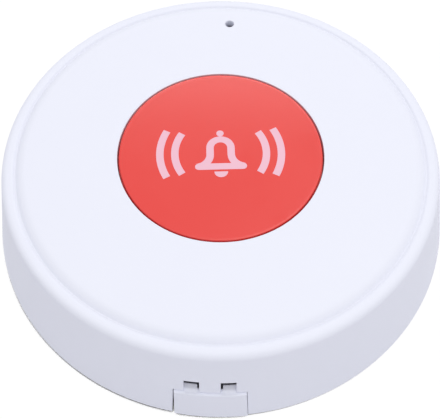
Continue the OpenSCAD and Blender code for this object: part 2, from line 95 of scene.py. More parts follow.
# Board, bosses and ribs
BOARD_TOP = 0.0076
BOARD_EDGE = 0.0022
BOSS_R = 0.0025
BOSS_ANGLES = (30, 150, 270)
PILOT_R = 0.00088
SCREW_BITE = 0.0041
RIB_T = 0.0012
RIB_GAP = 0.0008
RIB_COUNT = 6
# Rear cover
PLATE_T = 0.0014
PLATE_EDGE = 0.0003
COVER_GAP = 0.00025
SCREW_X = 0.022
SCREW_HOLE_R = 0.00175
TAB_H = 0.0055
TAB_T = 0.0012
TAB_BEAD = 0.0004
TAB_SPAN = math.radians(20)
TAB_ANGLES = (90, 210, 330)
# Tongue, notch and windows, and the angles to each side that the cuts and the uncut blocks span
TONGUE_W = 0.0103
TONGUE_H = 0.00615
TONGUE_LIFT = 0.00035
TONGUE_T = 0.0008
TONGUE_DRAFT = 0.0003
TONGUE_LEFT_DRAFT = 0.00008
TONGUE_GAP = 0.0002
TONGUE_SET = 0.00014
TONGUE_TOP_GAP = 0.00006
TONGUE_PROUD = 0.0002
TONGUE_TOP_PROUD = 0.0004
TONGUE_ROUND = 0.00015
TONGUE_SIDE_ROUND = 0.0001
NOTCH_EDGE = 0.00005
WINDOW_W = 0.0021
WINDOW_H = 0.00245
BRIDGE_W = 0.0029
KEY_TOP_GAP = 0.00145
KEY_BRIDGE_GAP = 0.0003
KEY_SIDE_GAP = 0.00001
KEY_SLOPE = 0.00045
KEY_SLOPE_H = 0.00035
KEY_LEAN = 0.0003
KEY_T = 0.00012
KEY_FOOT_DROP = 0.00003
KEY_EDGE = 0.00008
NEAR_WALL = math.radians(15)
NEAR_REACH = math.radians(14)
# Return spring and antenna coil
SPRING_R = 0.0062
SPRING_WIRE_R = 0.00025
SPRING_TURNS = 4.5
SPRING_RING_R = 0.0057
SPRING_RING_T = 0.0009
SPRING_RING_H = 0.0008
ANTENNA_R = 0.0019
ANTENNA_WIRE_R = 0.0003
ANTENNA_L = 0.012
ANTENNA_TURNS = 8.5
ANTENNA_LIFT = 0.0003
ANTENNA_ANGLE = 119
# Parts on the board that have marks or two materials
FIELD_W = 0.0042
RUN_PITCH = 0.0009
RUN_W = 0.00034
FIELD_MIX = 0.7
FIELD_CROSSWISE = 0.4
FIELD_POURED = 0.8
FIELD_FADE = 0.01
VIA_SHARE = 0.09
PAD_R = 0.0023
BARE_EDGE = 0.00004
CELL_R = 0.01225
CELL_TOP = 0.0048
CELL_STEP = 0.0012
GASKET_LAP = 0.0001
CHIP_W = 0.004
CHIP_L = 0.005
CHIP_H = 0.0015
CHIP_ANGLE = 225
DIMPLE_R = 0.00032
DIMPLE_EDGE = 0.00005
DIMPLE_INSET = 0.0008
CRYSTAL_LID_Z = 0.0009
CHOKE_R = 0.0018
CHOKE_H = 0.002
CHOKE_ANGLE = 202
CHOKE_WAIST = 0.72
CHOKE_WINDING = 0.295
STRAND_W = 0.00006
BULK_L = 0.0035
BULK_ANGLE = 296
STRIPE_W = 0.0009
STRIPE_Z = 0.0007
STRAP_T = 0.00004
STRAP_H = 0.0008
LIGHT_BASE_H = 0.00035
LIGHT_HEART_R = 0.00025
LIGHT_HEART_EDGE = 0.00012
SMALL_L = 0.0016
SMALL_CAP_L = 0.0003
# Printed sign on the button
INK_T = 0.00002
INK_STROKE = 0.0011
SIGN_TURN = math.radians(4)
# Fineness of round shapes
CASE_STEPS = 240
NEAR_STEPS = 28
TAB_STEPS = 16
SMALL_STEPS = 40
TURN_STEPS = 40
WIRE_SIDES = 14
RIM_STEPS = 20
FALL_STEPS = 12
ROUND_STEPS = 8
EDGE_STEPS = 6
BORE_STEPS = 4
CROWN_STEPS = 10
KNOB_STEPS = 24
WAVE_STEPS = 16
# Overlap of joined shapes, lengths that count as none, and the least angles of a sharp and of a softened edge
EASE = 0.0003
NEARLY = 1e-6
MERGE = 1e-7
CREASE = math.radians(40)
SOFTEN_OVER = math.radians(35)


def heading(angle):
    """A step of length 1 at an angle."""
    return Vector((math.cos(angle), math.sin(angle)))


def arc(centre, radius, start, end, steps):
    """Points along an arc, with both its ends."""
    turn = (end - start) / steps
    return [Vector(centre) + radius * heading(start + turn * i) for i in range(steps + 1)]


def corner(point, before, after, radius):
    """A rounded corner between two edges that leave it in the given directions."""
    opening = abs(after - before)
    side = math.copysign(1, after - before)
    centre = Vector(point) + radius / math.sin(opening / 2) * heading((before + after) / 2)
    start = before - side * math.pi / 2
    return arc(centre, radius, start, start - side * (math.pi - opening), EDGE_STEPS)


# Wall: straight from the skirt's lower edge, tangent to the rounded rim.
rim_top = CASE_H - RIM_DROP
rim_c = Vector((SHOULDER_R - RIM_R, rim_top - RIM_R))
skirt_p = Vector((BASE_R, SKIRT_LIFT))
rim_way = rim_c - skirt_p
wall_dir = math.atan2(rim_way.y, rim_way.x) - math.asin(RIM_R / rim_way.length)
flare = -1 / math.tan(wall_dir)
wall_across = WALL / math.sin(wall_dir)
face_under = CASE_H - WALL


def outer_r(z):
    """Radius of the wall's outside at a height."""
    return BASE_R - flare * (z - SKIRT_LIFT)


def inner_r(z):
    """Radius of the wall's inside at a height."""
    return outer_r(z) - wall_across


# Face: flat, then an arc that falls to the groove, and a lip that rises from there to the rim.
groove_r = SHOULDER_R - GROOVE_INSET
flat_r = groove_r - FACE_FALL
fall_h = RIM_DROP + GROOVE_DEPTH
fall_r = (FACE_FALL ** 2 + fall_h ** 2) / (2 * fall_h)
fall_c = Vector((flat_r, CASE_H - fall_r))
lip_end = groove_r + RIM_FALL
lip_r = (RIM_FALL ** 2 + GROOVE_DEPTH ** 2) / (2 * GROOVE_DEPTH)
lip_c = Vector((lip_end, rim_top - lip_r))
# The groove's bottom is round, tangent to both arcs.
groove_c = max(intersect_sphere_sphere_2d(fall_c, fall_r + GROOVE_ROUND, lip_c, lip_r + GROOVE_ROUND),
               key=lambda crossing: crossing.y)
fall_way = groove_c - fall_c
lip_way = groove_c - lip_c
fall_end = math.atan2(fall_way.y, fall_way.x)
lip_start = math.atan2(lip_way.y, lip_way.x)

# Radii, heights and leans that follow from the sizes
bore_r = BUTTON_R + BUTTON_GAP
collar_r = bore_r + COLLAR_T
flange_r = BUTTON_R + FLANGE_W
flange_top = FLANGE_Z + FLANGE_T
ear_r = flange_r + EAR_OUT
guide_r = flange_r + 2 * EAR_GAP
guide_end = ear_r + GUIDE_T / 2
button_under = CASE_H - BUTTON_T
led_r = flat_r - LED_INSET
board_r = led_r + BOARD_EDGE
ring_r = (guide_end + board_r) / 2
plate_r = inner_r(PLATE_T) - COVER_GAP
tongue_foot = Vector((outer_r(TONGUE_LIFT) + TONGUE_PROUD, TONGUE_LIFT))
tongue_tip = Vector((outer_r(TONGUE_H) + TONGUE_TOP_PROUD, TONGUE_H))
tongue_way = tongue_tip - tongue_foot
tongue_dir = math.atan2(tongue_way.y, tongue_way.x)
tongue_in = outer_r(TONGUE_H) + TONGUE_PROUD - TONGUE_T
tongue_lean = TONGUE_DRAFT / TONGUE_H
notch_half = TONGUE_W / 2 + TONGUE_GAP
notch_top = TONGUE_H + TONGUE_TOP_GAP
window_in = BRIDGE_W / 2
window_out = window_in + WINDOW_W
window_top = TONGUE_H + WINDOW_H
near_y = -inner_r(CASE_H) * math.cos(NEAR_WALL)


def spun(bm, outline, at=(0, 0), steps=CASE_STEPS, start=0.0, sweep=2 * math.pi, closed=False):
    """Turns an outline of (radius, height) points about an upright axis."""
    way = heading(start)
    points = [bm.verts.new((at[0] + r * way.x, at[1] + r * way.y, z)) for r, z in outline]
    edges = [bm.edges.new(pair) for pair in zip(points, points[1:])]
    if closed:
        edges.append(bm.edges.new((points[-1], points[0])))
    full = sweep > 2 * math.pi - NEARLY
    bmesh.ops.spin(bm, geom=points + edges, cent=(*at, 0), axis=(0, 0, 1), angle=sweep, steps=steps,
                   use_merge=full)
    bmesh.ops.remove_doubles(bm, verts=bm.verts, dist=MERGE)


def close_up(bm, edges):
    """Fills the holes that edges leave open."""
    bmesh.ops.holes_fill(bm, edges=[e for e in edges if e.is_valid and e.is_boundary], sides=0)


def wedge(bm, outline, middle, sweep, steps):
    """A closed outline turned part of the way round, with both its ends shut."""
    before = set(bm.edges)
    spun(bm, outline, steps=steps, start=middle - sweep / 2, sweep=sweep, closed=True)
    close_up(bm, [e for e in bm.edges if e not in before])


def carry(bm, grown, way):
    """Moves the points that an extrusion made."""
    bmesh.ops.translate(bm, vec=way, verts=[v for v in grown["geom"] if isinstance(v, bmesh.types.BMVert)])


def thicken(bm, faces, way):
    """Carries copies of faces along a way, with walls between."""
    carry(bm, bmesh.ops.extrude_face_region(bm, geom=faces, use_keep_orig=True), way)


def slab(bm, outline, depth):
    """A flat outline of 3-D points, carried along a depth."""
    thicken(bm, [bm.faces.new([bm.verts.new(p) for p in outline])], depth)


def fill_level(bm, z):
    """Fills the flat between the open circles at one height."""
    rings = [e for e in bm.edges if e.is_boundary and all(abs(v.co.z - z) < MERGE for v in e.verts)]
    bmesh.ops.triangle_fill(bm, use_beauty=True, use_dissolve=False, edges=rings, normal=(0, 0, 1))


def score(bm, point, normal, near, drop=False):
    """Cuts new edges where a plane crosses the faces that lie near, and drops what is beyond it if asked."""
    faces = [f for f in bm.faces if near(f.calc_center_median())]
    lines = {e for f in faces for e in f.edges}
    points = {v for f in faces for v in f.verts}
    bmesh.ops.bisect_plane(bm, geom=faces + list(lines) + list(points), dist=MERGE / 10, plane_co=point,
                           plane_no=normal, clear_outer=drop)


def soften(bm, edges, width, segments=2):
    """Rounds edges off."""
    bmesh.ops.bevel(bm, geom=edges, offset=width, offset_type="OFFSET", affect="EDGES", segments=segments,
                    profile=0.5, material=-1, clamp_overlap=True)


def mesh_object(bm, name, finish):
    """Puts a bmesh into the scene as an object with a finish."""
    mesh = bpy.data.meshes.new(name)
    bm.to_mesh(mesh)
    bm.free()
    mesh.materials.append(finish)
    made = bpy.data.objects.new(name, mesh)
    bpy.context.scene.collection.objects.link(made)
    return made


def even_normals(made):
    """Shades large faces flat, and lets the softened edges between them turn the light."""
    made.modifiers.new("even_normals", "WEIGHTED_NORMAL").keep_sharp = True


def piece(bm, name, body, finish, replaced=()):
    """Makes a finished mesh an object that rides on a body and stands for CAD nodes."""
    bmesh.ops.remove_doubles(bm, verts=bm.verts, dist=MERGE)
    bmesh.ops.recalc_face_normals(bm, faces=bm.faces)
    for face in bm.faces:
        face.smooth = True
    for edge in bm.edges:
        edge.smooth = len(edge.link_faces) == 2 and edge.calc_face_angle() < CREASE
    made = mesh_object(bm, name, finish)
    even_normals(made)
    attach(made, body)
    if replaced:
        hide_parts(*replaced)
    return made


# Top housing
def open_notch(bm):
    """Opens the notch for the tongue, and the two windows above it, in the near wall."""
    def low(c):
        return c.y < near_y and c.z < notch_top

    def high(c):
        return c.y < near_y and abs(c.x) < notch_half and notch_top < c.z < window_top

    def across_wall(c):
        return c.y < near_y and abs(c.x) < notch_half and c.z < face_under

    score(bm, (0, 0, notch_top), (0, 0, 1), across_wall)
    score(bm, (0, 0, window_top), (0, 0, 1), across_wall)
    for side in (-1, 1):
        score(bm, (side * notch_half, 0, 0), (side, 0, tongue_lean), low)
        for x in (window_in, window_out):
            score(bm, (side * x, 0, 0), (1, 0, 0), high)

    def opened(c):
        in_notch = low(c) and abs(c.x) + tongue_lean * c.z < notch_half
        return in_notch or high(c) and window_in < abs(c.x) < window_out

    bmesh.ops.delete(bm, geom=[f for f in bm.faces if opened(f.calc_center_median())], context="FACES")

    def on_side(v):
        return abs(abs(v.co.x) + tongue_lean * v.co.z - notch_half) < NEARLY

    def on_inside(v):
        return v.co.xy.length < inner_r(v.co.z) + 10 * NEARLY

    mouth = [e for e in bm.edges if e.is_boundary and e.verts[0].co.z < window_top + EASE]
    bmesh.ops.bridge_loops(bm, edges=[e for e in mouth if not all(on_side(v) for v in e.verts)])
    close_up(bm, mouth)
    soften(bm, [e for e in mouth if not all(on_inside(v) for v in e.verts)], NOTCH_EDGE)


def housing_fittings(bm):
    """What stands inside the case: ribs, and the guides of the button's ears."""
    for i in range(RIB_COUNT):
        way = Matrix.Rotation(2 * math.pi * i / RIB_COUNT, 3, "Z")
        outline = [(board_r + RIB_GAP, PLATE_T), (inner_r(PLATE_T) + EASE, PLATE_T),
                   (inner_r(face_under) + EASE, face_under + EASE), (board_r + RIB_GAP, face_under + EASE)]
        slab(bm, [way @ Vector((r, -RIB_T / 2, z)) for r, z in outline], way @ Vector((0, RIB_T, 0)))
    for side in (-1, 1):
        for hand in (-1, 1):
            y = hand * (EAR_W / 2 + EAR_GAP)
            outline = [(guide_r, FLANGE_Z), (guide_end, FLANGE_Z), (guide_end, face_under + EASE),
                       (guide_r, face_under + EASE)]
            slab(bm, [(side * r, y, z) for r, z in outline], (0, hand * GUIDE_T, 0))


def top_housing(finish):
    """The flared shell with its notch, its bore and its light tube, and the bosses under its face."""
    bm = bmesh.new()
    step = 2 * math.pi / CASE_STEPS
    outline = ([Vector((flat_r - EASE, CASE_H))]
               + arc(fall_c, fall_r, math.pi / 2, fall_end, FALL_STEPS)
               + arc(groove_c, GROOVE_ROUND, fall_end + math.pi, lip_start + math.pi, ROUND_STEPS)[1:-1]
               + arc(lip_c, lip_r, lip_start, math.pi / 2, ROUND_STEPS)
               + arc(rim_c, RIM_R, math.pi / 2, wall_dir - math.pi / 2, RIM_STEPS)
               + corner(skirt_p, wall_dir, math.pi, SKIRT_ROUND)
               + [Vector((inner_r(SKIRT_LIFT), SKIRT_LIFT)), Vector((inner_r(face_under), face_under))])
    spun(bm, outline, start=step / 2 - math.pi / 2)
    open_notch(bm)
    bore = ([Vector((bore_r + BORE_EDGE + EASE, CASE_H))]
            + arc((bore_r + BORE_EDGE, CASE_H - BORE_EDGE), BORE_EDGE, math.pi / 2, math.pi, BORE_STEPS)
            + [Vector((bore_r, flange_top)), Vector((collar_r, flange_top)), Vector((collar_r, face_under))])
    spun(bm, bore, BUTTON_AT)
    tube_r = LED_HOLE_R + LED_TUBE_T
    tube = [(LED_HOLE_R + LED_HOLE_EDGE, CASE_H), (LED_HOLE_R, CASE_H - LED_HOLE_EDGE),
            (LED_HOLE_R, LED_TUBE_Z), (tube_r, LED_TUBE_Z), (tube_r, face_under)]
    spun(bm, tube, (LED_SIDE, led_r), SMALL_STEPS)
    pilot_top = BOARD_TOP + SCREW_BITE
    boss = [(BOSS_R, face_under), (BOSS_R, BOARD_TOP), (PILOT_R, BOARD_TOP), (PILOT_R, pilot_top),
            (0, pilot_top)]
    for angle in BOSS_ANGLES:
        spun(bm, boss, ring_r * heading(math.radians(angle)), SMALL_STEPS)
    fill_level(bm, CASE_H)
    fill_level(bm, face_under)
    housing_fittings(bm)
    piece(bm, "housing_shell", "housing", finish, ["top_housing"])


# Rear cover
def cut_side(bm, side, half, lean):
    """Cuts the end of a wedge off along an upright plane, and shuts it."""
    before = set(bm.verts)
    score(bm, (side * half, 0, 0), (side, 0, lean), lambda c: True, drop=True)
    edges = [e for e in bm.edges if e.is_boundary]
    close_up(bm, edges)
    return [e for e in edges if e.is_valid and not any(v in before for v in e.verts)]


def near_block(outline, cuts, edge):
    """A part of the cover at the near wall: an outline turned past it, cut to width, with softened ends."""
    bm = bmesh.new()
    spun(bm, outline, steps=NEAR_STEPS, start=-math.pi / 2 - NEAR_REACH, sweep=2 * NEAR_REACH, closed=True)
    rims = []
    for side, half, lean in cuts:
        rims += cut_side(bm, side, half, lean)
    soften(bm, [e for e in rims if e.is_valid], edge, segments=3)
    return bm


def joined(bm, other):
    """Adds another bmesh to this one."""
    mesh = bpy.data.meshes.new("joining")
    other.to_mesh(mesh)
    other.free()
    bm.from_mesh(mesh)
    bpy.data.meshes.remove(mesh)


def cover_tongue(bm):
    """The tongue that fills the notch in the near wall."""
    root_r = plate_r - PLATE_EDGE / 2
    tongue = (corner(tongue_foot, tongue_dir, math.pi, SKIRT_ROUND)
              + [Vector((root_r, TONGUE_LIFT)), Vector((root_r, PLATE_T)), Vector((tongue_in, PLATE_T)),
                 Vector((tongue_in, TONGUE_H))]
              + corner(tongue_tip, math.pi, tongue_dir + math.pi, TONGUE_ROUND))
    sides = [(-1, TONGUE_W / 2 - TONGUE_SET, TONGUE_LEFT_DRAFT / TONGUE_H),
             (1, TONGUE_W / 2 + TONGUE_SET, tongue_lean)]
    joined(bm, near_block(tongue, sides, TONGUE_SIDE_ROUND))


def cover_keys(bm):
    """The sloped keys that stand in the windows, each with a lower foot towards the bridge."""
    root = TONGUE_H - WALL
    key_foot = outer_r(TONGUE_H)
    key_knee = key_foot - KEY_SLOPE
    key_tip = key_knee - KEY_LEAN
    key_top = window_top - KEY_TOP_GAP
    key = [(key_tip - KEY_T, root), (key_foot, root), (key_foot, TONGUE_H),
           (key_knee, TONGUE_H + KEY_SLOPE_H), (key_tip, key_top), (key_tip - KEY_T, key_top)]
    foot_r = key_foot - KEY_FOOT_DROP
    foot_top = TONGUE_H + KEY_SLOPE_H - KEY_FOOT_DROP
    foot = [(key_knee - KEY_T, root), (foot_r, root), (foot_r, TONGUE_H - KEY_FOOT_DROP),
            (key_knee, foot_top), (key_knee - KEY_T, foot_top)]
    for side in (-1, 1):
        for block, near, far in ((key, window_in + KEY_BRIDGE_GAP, window_out - KEY_SIDE_GAP),
                                 (foot, window_in + KEY_SIDE_GAP, window_in + 2 * KEY_BRIDGE_GAP)):
            joined(bm, near_block(block, [(side, far, 0), (-side, -near, 0)], KEY_EDGE))


def grip_tabs(bm):
    """Upright tabs inside the wall, each with a bead that grips it."""
    bead_r = inner_r(TAB_H) - COVER_GAP
    tab_r = bead_r - TAB_BEAD
    tab = [(tab_r - TAB_T, PLATE_T / 2), (tab_r, PLATE_T / 2), (tab_r, TAB_H - 4 * TAB_BEAD),
           (bead_r, TAB_H - 3 * TAB_BEAD), (bead_r, TAB_H - TAB_BEAD), (tab_r, TAB_H), (tab_r - TAB_T, TAB_H)]
    for angle in TAB_ANGLES:
        wedge(bm, tab, math.radians(angle), TAB_SPAN, TAB_STEPS)


def rear_cover(finish):
    """A round plate with two wall screw holes, a tongue, keys and grip tabs."""
    bm = bmesh.new()
    spun(bm, [(plate_r - PLATE_EDGE, 0), (plate_r, PLATE_EDGE), (plate_r, PLATE_T - PLATE_EDGE),
              (plate_r - PLATE_EDGE, PLATE_T)])
    for side in (-1, 1):
        spun(bm, [(SCREW_HOLE_R, 0), (SCREW_HOLE_R, PLATE_T)], (side * SCREW_X, 0), SMALL_STEPS)
    fill_level(bm, 0)
    fill_level(bm, PLATE_T)
    cover_tongue(bm)
    cover_keys(bm)
    grip_tabs(bm)
    piece(bm, "rear_cover_shell", "base", finish, ["rear_cover"])


# Call button
def call_button(finish):
    """A cap with a flange and two ears, a ring that holds the spring, and a plunger over the switch."""
    bm = bmesh.new()
    cap_r = BUTTON_R - STEP_W
    step_z = CASE_H - STEP_H
    skirt_r = BUTTON_R - BUTTON_SKIRT_T
    ring_z = button_under - SPRING_RING_H
    ring_in = SPRING_RING_R - SPRING_RING_T
    plunger_z = button_under - PLUNGER_H
    outline = ([Vector((0, CASE_H)), Vector((cap_r - BUTTON_ROUND - EASE, CASE_H))]
               + arc((cap_r - BUTTON_ROUND, CASE_H - BUTTON_ROUND), BUTTON_ROUND, math.pi / 2, 0, EDGE_STEPS)
               + [Vector(p) for p in (
                   (cap_r, step_z), (BUTTON_R, step_z), (BUTTON_R, flange_top), (flange_r, flange_top),
                   (flange_r, FLANGE_Z), (skirt_r, FLANGE_Z), (skirt_r, button_under),
                   (SPRING_RING_R, button_under), (SPRING_RING_R, ring_z), (ring_in, ring_z),
                   (ring_in, button_under), (PLUNGER_R, button_under), (PLUNGER_R, plunger_z),
                   (0, plunger_z))])
    spun(bm, outline, BUTTON_AT)
    for side in (-1, 1):
        outline = [(flange_r - EASE, FLANGE_Z), (ear_r, FLANGE_Z), (ear_r, flange_top),
                   (flange_r - EASE, flange_top)]
        slab(bm, [(side * r, -EAR_W / 2, z) for r, z in outline], (0, EAR_W, 0))
    piece(bm, "button_cap", "button", finish, ["call_button"])


# Sign on the button: a bell between sound waves
BELL_H = 0.0082
BELL_CROWN_R = 0.0021
BELL_LIP_W = 0.0076
BELL_FLARE_R = 0.0016
CLAPPER_R = 0.001
WAVE_RADII = (0.0062, 0.0084)
WAVE_SPANS = (math.radians(66), math.radians(56))


def sign_object(bm, name, finish):
    """Gives flat ink its thickness and lays it on the button."""
    bmesh.ops.recalc_face_normals(bm, faces=bm.faces)
    thicken(bm, bm.faces[:], (0, 0, INK_T))
    bmesh.ops.rotate(bm, cent=(0, 0, 0), matrix=Matrix.Rotation(SIGN_TURN, 3, "Z"), verts=bm.verts)
    bmesh.ops.translate(bm, vec=(*BUTTON_AT, CASE_H), verts=bm.verts)
    piece(bm, name, "button", finish)


def sign_bell(finish):
    """A bell drawn in one stroke, with its knob above, and its lip and its clapper below."""
    bm = bmesh.new()
    foot = -BELL_H / 2 + INK_STROKE
    brow = foot + INK_STROKE
    crown = (0, BELL_H / 2 - INK_STROKE - BELL_CROWN_R)
    flare_c = (BELL_CROWN_R + BELL_FLARE_R, brow + BELL_FLARE_R)
    lines = []
    for inset in (0, INK_STROKE):
        spread = math.asin(BELL_FLARE_R / (BELL_FLARE_R + inset))
        side = (arc(flare_c, BELL_FLARE_R + inset, math.pi + spread, math.pi, ROUND_STEPS)
                + arc(crown, BELL_CROWN_R - inset, 0, math.pi / 2, CROWN_STEPS))
        points = [bm.verts.new((*p, 0)) for p in side + [Vector((-p.x, p.y)) for p in reversed(side[:-1])]]
        lines += [bm.edges.new(pair) for pair in zip(points, points[1:])]
    bmesh.ops.bridge_loops(bm, edges=lines)
    lip_half = BELL_LIP_W / 2 - INK_STROKE / 2
    lip = [p for x, start in ((lip_half, -math.pi / 2), (-lip_half, math.pi / 2))
           for p in arc((x, foot + INK_STROKE / 2), INK_STROKE / 2, start, start + math.pi, ROUND_STEPS)]
    bm.faces.new([bm.verts.new((*p, 0)) for p in lip])
    bmesh.ops.create_circle(bm, cap_ends=True, segments=KNOB_STEPS, radius=INK_STROKE / 2,
                            matrix=Matrix.Translation((0, BELL_H / 2 - INK_STROKE / 2, 0)))
    clapper = arc((0, foot - INK_STROKE / 3), CLAPPER_R, math.pi, 2 * math.pi, WAVE_STEPS)
    bm.faces.new([bm.verts.new((*p, 0)) for p in clapper])
    sign_object(bm, "sign_bell", finish)


def sign_waves(finish):
    """Two sound waves to each side of the bell."""
    bm = bmesh.new()
    for side in (0, math.pi):
        for radius, span in zip(WAVE_RADII, WAVE_SPANS):
            way = heading(side - span / 2)
            ends = [bm.verts.new((way.x * r, way.y * r, 0)) for r in (radius, radius + INK_STROKE)]
            edge = bm.edges.new(ends)
            bmesh.ops.spin(bm, geom=ends + [edge], cent=(0, 0, 0), axis=(0, 0, 1), angle=span,
                           steps=WAVE_STEPS)
    sign_object(bm, "sign_waves", finish)


# Wound wire
def coil(bm, radius, wire_r, turns, length, leg=0.0):
    """A wire wound about the Z axis from z = 0, starting at angle 0, with legs along -Y if asked."""
    steps = round(turns * TURN_STEPS)
    upright = Matrix.Translation((radius, 0, 0)) @ Matrix.Rotation(math.pi / 2, 4, "X")
    ring = bmesh.ops.create_circle(bm, segments=WIRE_SIDES, radius=wire_r, matrix=upright)
    edges = {e for v in ring["verts"] for e in v.link_edges}
    bmesh.ops.spin(bm, geom=ring["verts"] + list(edges), cent=(0, 0, 0), axis=(0, 0, 1),
                   dvec=(0, 0, length / steps), angle=2 * math.pi * turns, steps=steps)
    if leg:
        ends = [e for e in bm.edges if e.is_boundary]
        carry(bm, bmesh.ops.extrude_edge_only(bm, edges=ends), (0, -leg, 0))
    close_up(bm, bm.edges[:])


def return_spring(finish):
    """Stands between the board and the button, which squeezes it when pressed; the wire is wound at its full
    length.
    """
    bm = bmesh.new()
    spring_h = button_under - BOARD_TOP
    coil(bm, SPRING_R, SPRING_WIRE_R, SPRING_TURNS, spring_h - 2 * SPRING_WIRE_R)
    bmesh.ops.translate(bm, vec=(0, 0, BOARD_TOP + SPRING_WIRE_R), verts=bm.verts)
    made = piece(bm, "return_spring_wire", "housing", finish, ["return_spring"])
    press = next(j for j in frame["joints"] if j["name"] == "button_press")["range_m"][1]
    (spring_h - press) / spring_h
    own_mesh(made)


def antenna_coil(finish):
    """Lies along the ring of parts, and stands on the board on two legs."""
    bm = bmesh.new()
    rise = ANTENNA_LIFT + ANTENNA_WIRE_R + ANTENNA_R
    coil(bm, ANTENNA_R, ANTENNA_WIRE_R, ANTENNA_TURNS, ANTENNA_L, leg=rise)
    laid = Matrix(((1, 0, 0, ring_r), (0, 0, 1, -ANTENNA_L / 2), (0, 1, 0, BOARD_TOP + rise), (0, 0, 0, 1)))
    turned = Matrix.Rotation(math.radians(ANTENNA_ANGLE), 4, "Z")
    bmesh.ops.transform(bm, matrix=turned @ laid, verts=bm.verts)
    piece(bm, "antenna_wire", "housing", finish, ["antenna_coil"])


# Finishes: features of their noise a metre, depths of their bumps in metres, shares of their painted shade,
# and masks
CLOUDS = 45
HANDLING = 160
CELL_TARNISH = 260
TARNISH = 300
DRAWN_LINES = 900
LID_LINES = 1500
HAZE = 2200
WEAVE = 2600
GRAIN = 3600
CORE_SPECKLE = 4200
SPECKLE = 5200
LATHE_RINGS = 16000
LINE_BUMP = 0.000003
GRAIN_BUMP = 0.000004
CASE_BUMP = 0.000005
SPECKLE_BUMP = 0.000006
COPPER_BUMP = 0.00003
STRAND_BUMP = 0.00004
DIMPLE_BUMP = 0.00005
GROOVE_SHADE_SHARE = 0.13
WINDOW_SHADE_SHARE = 0.35
WINDOW_RECESS = 0.00035
WINDOW_FADE = 0.00015
SLIT_SHADE_SHARE = 0.9
HOLE_SHADE = 0.55
TIN_ROUGHNESS = 0.3
MASK_FADE = 0.00002


def srgb(red, green, blue):
    """A colour of 0 to 255 as the linear colour that a shader takes."""
    def linear(level):
        level /= 255
        return level / 12.92 if level <= 0.04045 else ((level + 0.055) / 1.055) ** 2.4
    return (linear(red), linear(green), linear(blue), 1)


class Value:
    """A socket of a node tree, on which sums can be written: each adds a Math node."""

    def __init__(self, nodes, socket):
        self.nodes = nodes
        self.socket = socket

    def __add__(self, other):
        return self.nodes.math("ADD", self, other)

    def __sub__(self, other):
        return self.nodes.math("SUBTRACT", self, other)

    def __rsub__(self, other):
        return self.nodes.math("SUBTRACT", other, self)

    def __mul__(self, other):
        return self.nodes.math("MULTIPLY", self, other)

    def __abs__(self):
        return self.nodes.math("ABSOLUTE", self)

    __radd__ = __add__
    __rmul__ = __mul__


class Nodes:
    """A node tree, to which nodes are added one by one."""

    def __init__(self, tree):
        self.tree = tree

    def node(self, kind, settings, inputs, output=0):
        made = self.tree.nodes.new(kind)
        for key, value in settings.items():
            setattr(made, key, value)
        for key, value in inputs.items():
            self.put(made.inputs[key], value)
        return Value(self, made.outputs[output])

    def put(self, socket, value):
        if isinstance(value, Value):
            self.tree.links.new(value.socket, socket)
        else:
            socket.default_value = value

    def math(self, operation, first, second=0.0):
        return self.node("ShaderNodeMath", {"operation": operation}, {0: first, 1: second})

    def either(self, first, second):
        return self.math("MAXIMUM", first, second)

    def looked_at(self):
        """1 for what is seen, straight or in metal and glass."""
        straight, mirrored, through = [self.node("ShaderNodeLightPath", {}, {}, ray) for ray in (
            "Is Camera Ray", "Is Glossy Ray", "Is Transmission Ray")]
        return self.either(self.either(straight, mirrored), through)


class Finish(Nodes):
    """A material, built from nodes round one shader."""

    def __init__(self, name, **constants):
        self.material = bpy.data.materials.new(name)
        self.material.use_nodes = True
        super().__init__(self.material.node_tree)
        self.shader = self.tree.nodes["Principled BSDF"]
        for socket, value in constants.items():
            self.feed(socket.replace("_", " "), value)

    def feed(self, socket, value):
        self.put(self.shader.inputs[socket], value)

    def place(self):
        return self.node("ShaderNodeTexCoord", {}, {}, "Object")

    def split(self):
        """The place along each axis."""
        return [self.node("ShaderNodeSeparateXYZ", {}, {0: self.place()}, i) for i in range(3)]

    def length(self, x, y):
        return self.math("SQRT", x * x + y * y)

    def on_ring(self, angle):
        """The place along and across the ring of parts from a spot on it."""
        way = heading(math.radians(angle))
        x, y, _ = self.split()
        return x * way.x + y * way.y - ring_r, y * way.x - x * way.y

    def over(self, value, limit, soft=MASK_FADE):
        """Goes from 0 to 1 where a value passes a limit."""
        return self.node("ShaderNodeMapRange", {"interpolation_type": "SMOOTHSTEP"},
                         {"Value": value, "From Min": limit - soft, "From Max": limit + soft})

    def noise(self, scale, detail=2.0, stretch=(1, 1, 1)):
        where = self.node("ShaderNodeMapping", {}, {"Vector": self.place(), "Scale": stretch})
        return self.node("ShaderNodeTexNoise", {}, {"Vector": where, "Scale": scale, "Detail": detail})

    def varied(self, level, noise, swing):
        """A level that noise moves up and down."""
        return level + swing * (noise - 0.5)

    def mix(self, mask, first, second):
        """Goes from the first colour to the second with a mask."""
        return self.node("ShaderNodeMix", {"data_type": "RGBA"}, {0: mask, 6: first, 7: second}, 2)

    def bump(self, height, depth):
        bumped = self.node("ShaderNodeBump", {}, {"Height": height, "Distance": depth, "Strength": 1.0})
        self.feed("Normal", bumped)


def moulded(name, dark, light, roughness):
    """Moulded plastic: a faint cloud in the colour, and the fine grain of an eroded mould."""
    made = Finish(name)
    clouds = made.noise(CLOUDS, 3)
    grain = made.noise(GRAIN, 2)
    handled = made.over(made.noise(HANDLING, 4), 0.62, 0.12)
    made.colour = made.mix(clouds, dark, light)
    made.feed("Base Color", made.colour)
    made.feed("Roughness", made.varied(made.varied(roughness, grain, 0.1), clouds, 0.06) - 0.05 * handled)
    made.bump(grain, GRAIN_BUMP)
    return made


